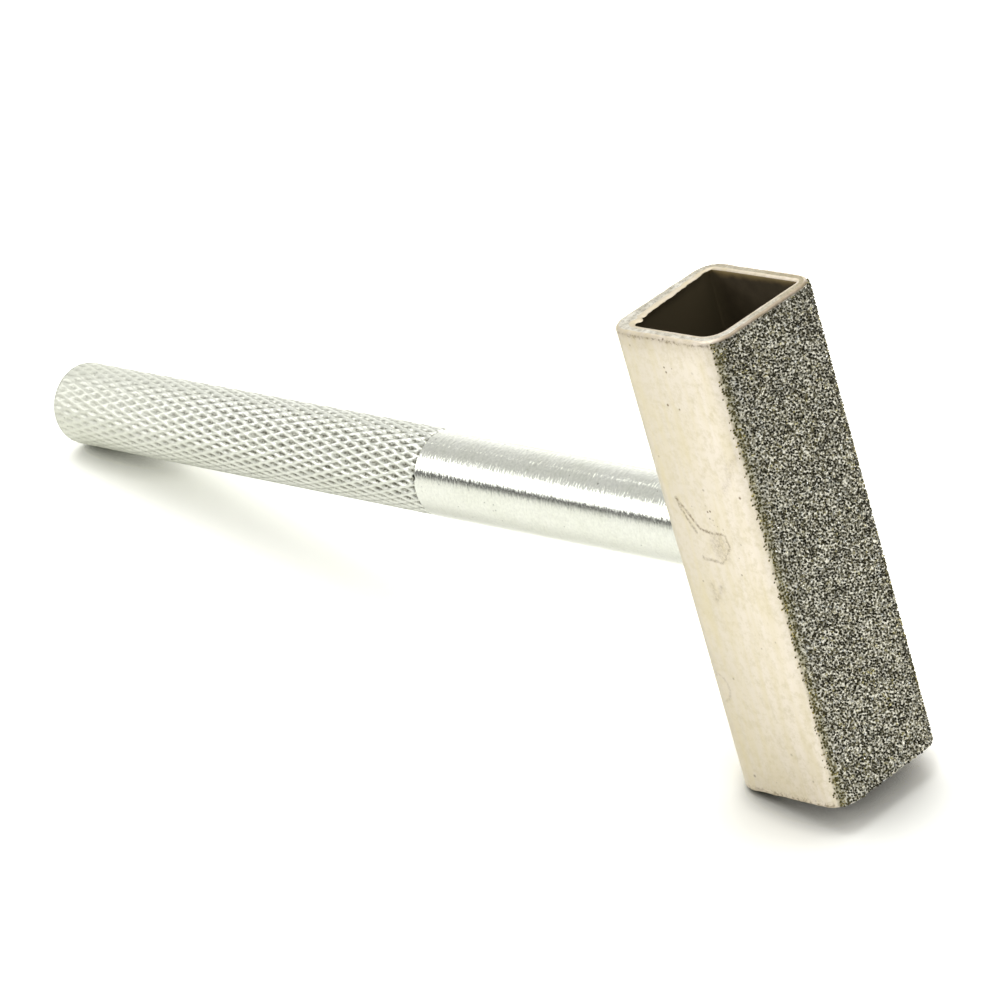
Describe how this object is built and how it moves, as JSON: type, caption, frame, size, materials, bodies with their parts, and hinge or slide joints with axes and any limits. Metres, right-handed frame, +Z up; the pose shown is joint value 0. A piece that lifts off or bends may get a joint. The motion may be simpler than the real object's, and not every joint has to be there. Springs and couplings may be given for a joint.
{
  "type": "diamond wheel dresser",
  "caption": "Hand-held wheel dresser: a short square steel tube faced with plated diamond grit, set like a hammer head on a round knurled handle.",
  "frame": {"origin": "on the surface that the tool lies on, under the middle of its length and width", "axes": "+Z up, +X along the tool as it lies, from the knurled end towards the head, and +Y across the head's width"},
  "size_m": [0.1044, 0.0134, 0.0466],
  "materials": {
    "zinc_plated_steel": "satin",
    "nickel_plated_steel": "satin",
    "diamond_grit": "matte"
  },
  "bodies": {
    "root": {"handle": "zinc_plated_steel", "head_tube": "nickel_plated_steel", "diamond_layer": "diamond_grit"}
  },
  "joints": []
}
